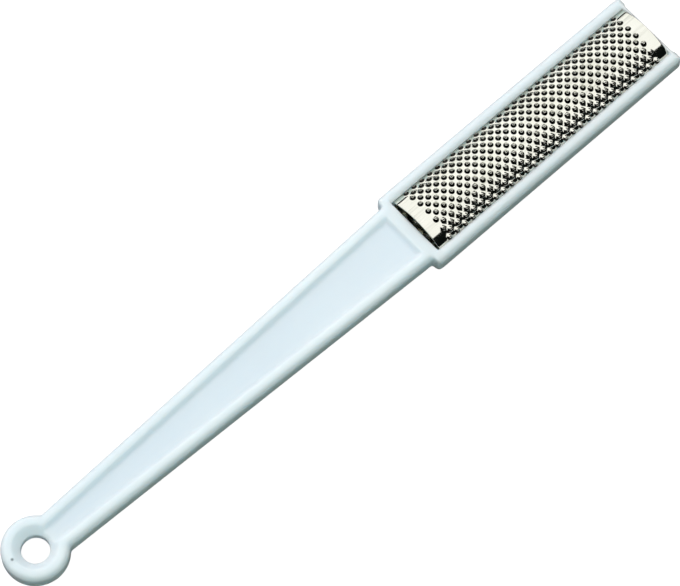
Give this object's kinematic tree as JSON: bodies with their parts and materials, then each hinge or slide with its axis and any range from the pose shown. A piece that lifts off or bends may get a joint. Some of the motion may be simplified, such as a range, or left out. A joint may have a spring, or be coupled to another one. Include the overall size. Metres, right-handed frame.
{
  "type": "foot file",
  "caption": "White plastic foot file with a hanging ring, a tapered handle and a frame that holds arched punched-steel rasp sheets, fine on one side and coarse on the other.",
  "frame": {"origin": "centre of the hanging hole, on the mid plane between the two faces", "axes": "+X along the tool from the hanging ring to the tip of the head, +Y across it, +Z out of the fine face along the hole"},
  "size_m": [0.18, 0.0198, 0.0096],
  "materials": {
    "white_plastic": "smooth injection-moulded plastic, cool white, slight gloss",
    "rasp_steel": "bright rolled stainless sheet with punched, sharp-rimmed teeth"
  },
  "bodies": {
    "root": {"handle_frame": "white_plastic", "fine_rasp_sheet": "rasp_steel", "coarse_rasp_sheet": "rasp_steel"}
  },
  "joints": []
}
